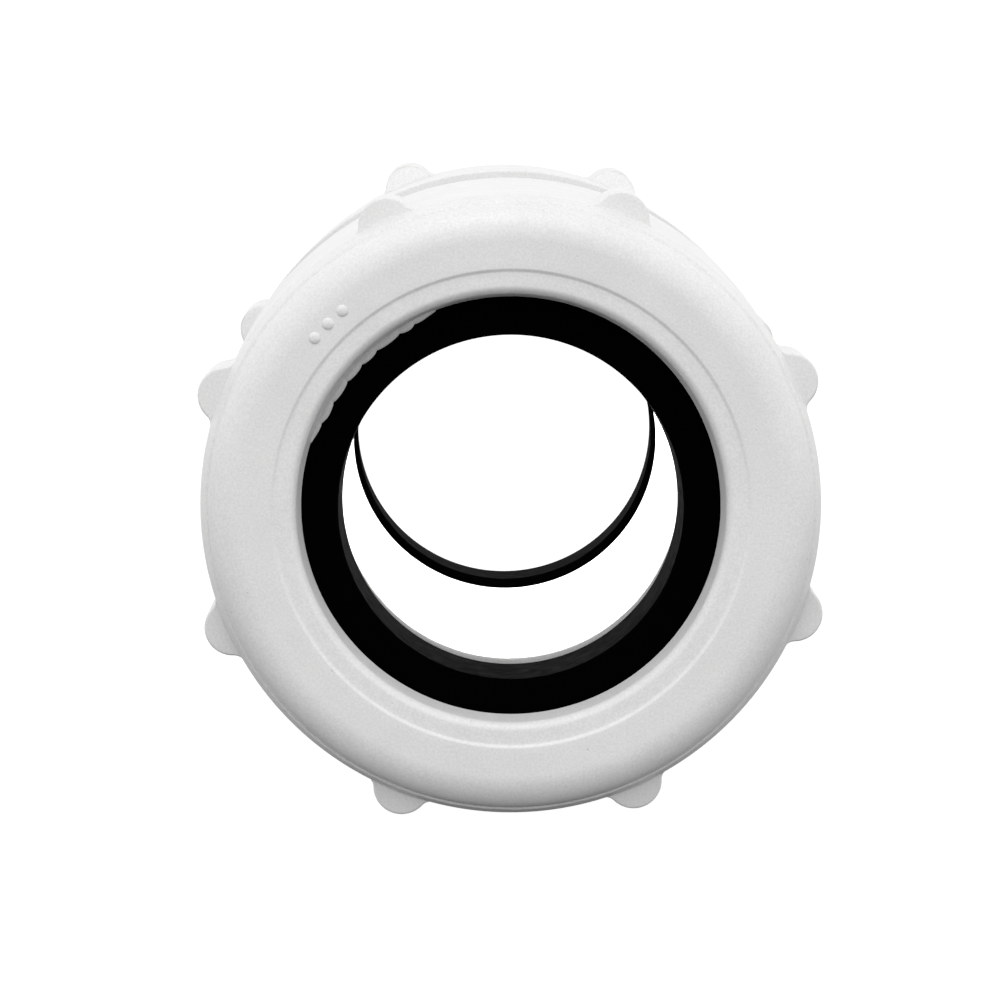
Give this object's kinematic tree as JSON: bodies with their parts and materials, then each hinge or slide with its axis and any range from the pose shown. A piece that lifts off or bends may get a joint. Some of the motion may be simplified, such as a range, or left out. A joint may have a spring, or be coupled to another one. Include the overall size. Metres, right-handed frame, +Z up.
{
  "type": "compression coupling",
  "caption": "Straight white plastic compression coupling: a threaded tube body with a lugged nut and a tapered rubber gasket at each end.",
  "frame": {"origin": "middle of the coupling, on the axis of its bore", "axes": "+Y along the bore, from the front nut to the rear nut; +Z up; +X to the right when the front nut is looked at"},
  "size_m": [0.0622, 0.106, 0.0622],
  "materials": {
    "body_plastic": "satin",
    "nut_plastic": "satin",
    "gasket_rubber": "matte"
  },
  "bodies": {
    "body": {"body": "body_plastic"},
    "front_gasket": {"front_gasket": "gasket_rubber"},
    "front_nut": {"front_nut": "nut_plastic"},
    "rear_gasket": {"rear_gasket": "gasket_rubber"},
    "rear_nut": {"rear_nut": "nut_plastic"}
  },
  "joints": [
    {"name": "front_gasket_slide", "type": "slide", "parent": "body", "child": "front_gasket", "axis": [0, 1, 0], "range_m": [-0.03125, 0.003]},
    {"name": "front_nut_turn", "type": "hinge", "parent": "front_gasket", "child": "front_nut", "pos_m": [0, -0.0325, 0], "axis": [0, 1, 0], "range_deg": [-2250, 216]},
    {"name": "rear_gasket_slide", "type": "slide", "parent": "body", "child": "rear_gasket", "axis": [0, -1, 0], "range_m": [-0.03125, 0.003]},
    {"name": "rear_nut_turn", "type": "hinge", "parent": "rear_gasket", "child": "rear_nut", "pos_m": [0, 0.0325, 0], "axis": [0, -1, 0], "range_deg": [-2250, 216]}
  ],
  "couplings": [
    {"joint": "front_gasket_slide", "follows": "front_nut_turn", "m_per_rad": 0.00079577},
    {"joint": "rear_gasket_slide", "follows": "rear_nut_turn", "m_per_rad": 0.00079577}
  ]
}
